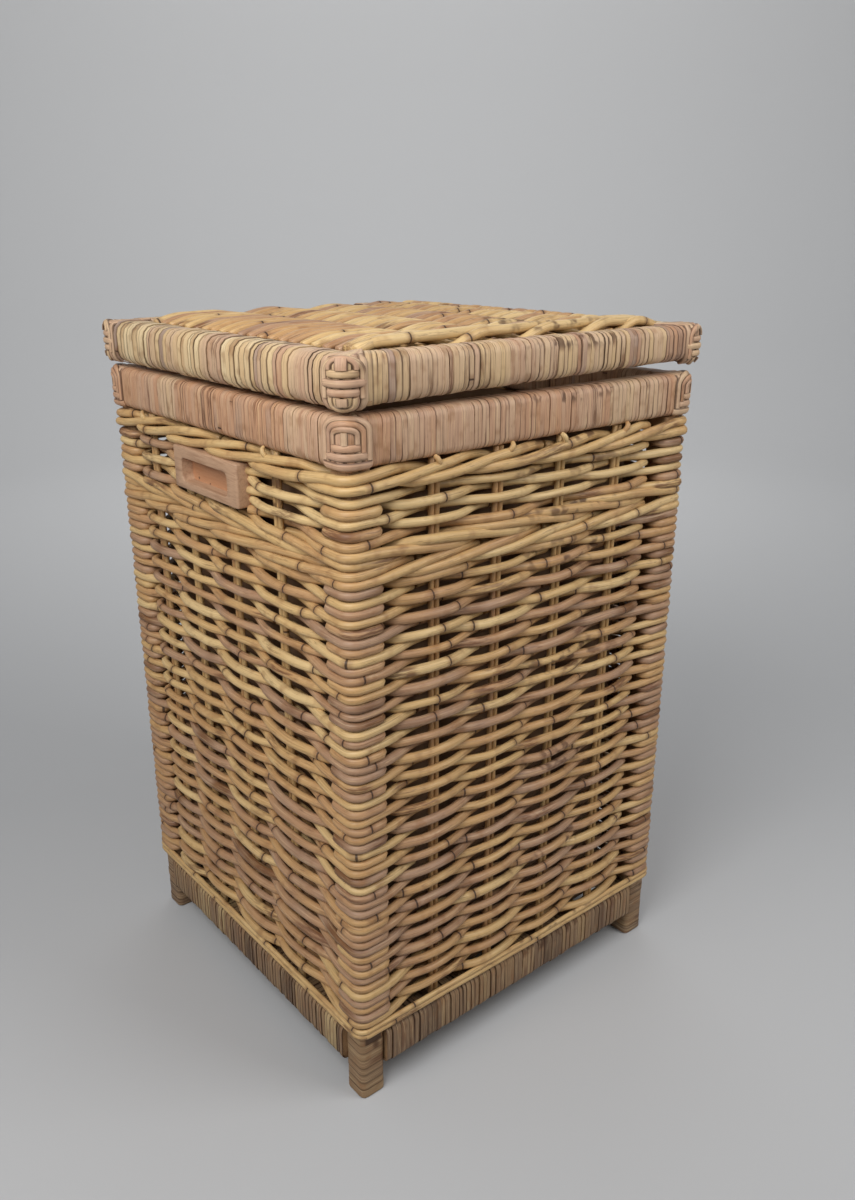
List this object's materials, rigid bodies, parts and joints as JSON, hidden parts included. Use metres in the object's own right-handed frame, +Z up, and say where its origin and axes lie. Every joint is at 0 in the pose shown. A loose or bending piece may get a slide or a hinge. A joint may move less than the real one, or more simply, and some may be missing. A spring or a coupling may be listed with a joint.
{
  "type": "laundry hamper",
  "caption": "Tall square laundry hamper of woven cane on a wooden frame, with a hinged woven lid and a grooved wooden handle in each side.",
  "frame": {"origin": "middle of the footprint on the floor", "axes": "+Z up, -Y to the front, +X to the right of a person facing the front; the hinge runs along X at the back (+Y)"},
  "size_m": [0.4, 0.3978, 0.664],
  "materials": {
    "frame_wood": "raw",
    "winding_cane": "raw split cane",
    "weave_cane": "raw round cane",
    "handle_wood": "satin",
    "liner_cloth": "plain woven cotton"
  },
  "bodies": {
    "hamper": {"corner_post_front_left": "frame_wood", "foot_winding_front_left": "winding_cane", "corner_post_front_right": "frame_wood", "foot_winding_front_right": "winding_cane", "corner_post_back_right": "frame_wood", "foot_winding_back_right": "winding_cane", "corner_post_back_left": "frame_wood", "foot_winding_back_left": "winding_cane", "base_rail_front": "frame_wood", "base_winding_front": "winding_cane", "base_rail_right": "frame_wood", "base_winding_right": "winding_cane", "base_rail_back": "frame_wood", "base_winding_back": "winding_cane", "base_rail_left": "frame_wood", "base_winding_left": "winding_cane", "floor_panel": "weave_cane", "liner": "liner_cloth", "rim_rail_front": "frame_wood", "rim_winding_front": "winding_cane", "rim_rail_right": "frame_wood", "rim_winding_right": "winding_cane", "rim_rail_back": "frame_wood", "rim_winding_back": "winding_cane", "rim_rail_left": "frame_wood", "rim_winding_left": "winding_cane", "wall_weave_front": "weave_cane", "stake_front_1": "weave_cane", "stake_front_2": "weave_cane", "stake_front_3": "weave_cane", "stake_front_4": "weave_cane", "wall_weave_right": "weave_cane", "stake_right_1": "weave_cane", "stake_right_2": "weave_cane", "stake_right_3": "weave_cane", "stake_right_4": "weave_cane", "handle_right": "handle_wood", "wall_weave_back": "weave_cane", "stake_back_1": "weave_cane", "stake_back_2": "weave_cane", "stake_back_3": "weave_cane", "stake_back_4": "weave_cane", "wall_weave_left": "weave_cane", "stake_left_1": "weave_cane", "stake_left_2": "weave_cane", "stake_left_3": "weave_cane", "stake_left_4": "weave_cane", "handle_left": "handle_wood", "hinge_binding_left": "winding_cane", "hinge_binding_right": "winding_cane"},
    "lid": {"lid_rail_front": "frame_wood", "lid_winding_front": "winding_cane", "lid_rail_right": "frame_wood", "lid_winding_right": "winding_cane", "lid_rail_back": "frame_wood", "lid_winding_back": "winding_cane", "lid_rail_left": "frame_wood", "lid_winding_left": "winding_cane", "lid_weave": "weave_cane", "lid_ribs": "weave_cane"}
  },
  "joints": [
    {"name": "lid_hinge", "type": "hinge", "parent": "hamper", "child": "lid", "pos_m": [0, 0.1973, 0.616], "axis": [-1, 0, 0], "range_deg": [0, 110], "deforming": ["hinge_binding_left", "hinge_binding_right"]}
  ]
}
